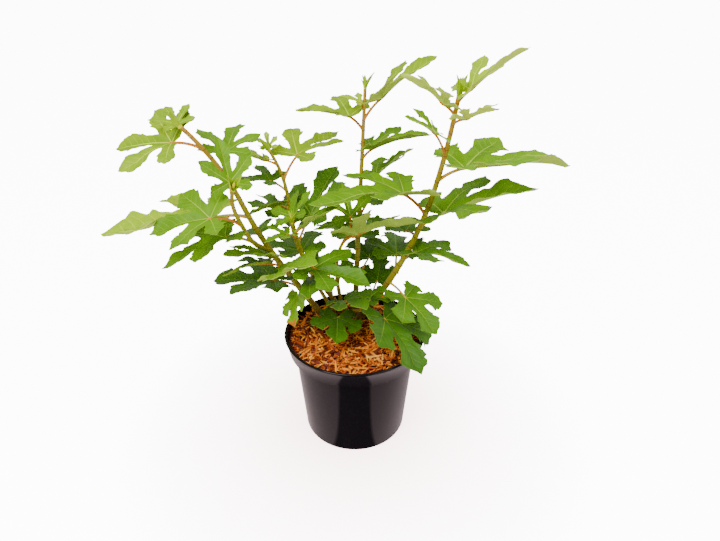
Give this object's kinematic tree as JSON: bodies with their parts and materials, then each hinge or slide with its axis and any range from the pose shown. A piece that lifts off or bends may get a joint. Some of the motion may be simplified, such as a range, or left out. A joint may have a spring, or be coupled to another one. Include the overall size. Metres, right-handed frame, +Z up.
{
  "type": "fig tree in a pot",
  "caption": "Young many-stemmed fig bush with lobed leaves, growing in a round black nursery pot topped with bark mulch.",
  "frame": {"origin": "middle of the pot's flat underside", "axes": "+Z up, the front of the plant is seen looking along +Y, +X is the plant's right in that view"},
  "size_m": [0.5689, 0.2955, 0.5171],
  "materials": {
    "pot_plastic": "satin",
    "bark_mulch": "matte",
    "bark": "satin",
    "foliage": "satin"
  },
  "bodies": {
    "root": {"leaf_back_1": "foliage", "leaf_back_2": "foliage", "leaf_centre_1": "foliage", "leaf_fork_1": "foliage", "leaf_left_1": "foliage", "leaf_left_2": "foliage", "leaf_left_3": "foliage", "leaf_left_4": "foliage", "leaf_left_5": "foliage", "leaf_left_6": "foliage", "leaf_middle_1": "foliage", "leaf_middle_2": "foliage", "leaf_right_1": "foliage", "leaf_right_2": "foliage", "leaf_right_3": "foliage", "leaf_right_4": "foliage", "leaf_upright_1": "foliage", "leaf_upright_2": "foliage", "leaf_upright_3": "foliage", "leaves_back": "foliage", "leaves_centre": "foliage", "leaves_fork": "foliage", "leaves_left": "foliage", "leaves_low": "foliage", "leaves_middle": "foliage", "leaves_right": "foliage", "leaves_upright": "foliage", "pot": "pot_plastic", "potting_mix": "bark_mulch", "stem_back": "bark", "stem_centre": "bark", "stem_fork": "bark", "stem_left": "bark", "stem_middle": "bark", "stem_right": "bark", "stem_upright": "bark"}
  },
  "joints": []
}
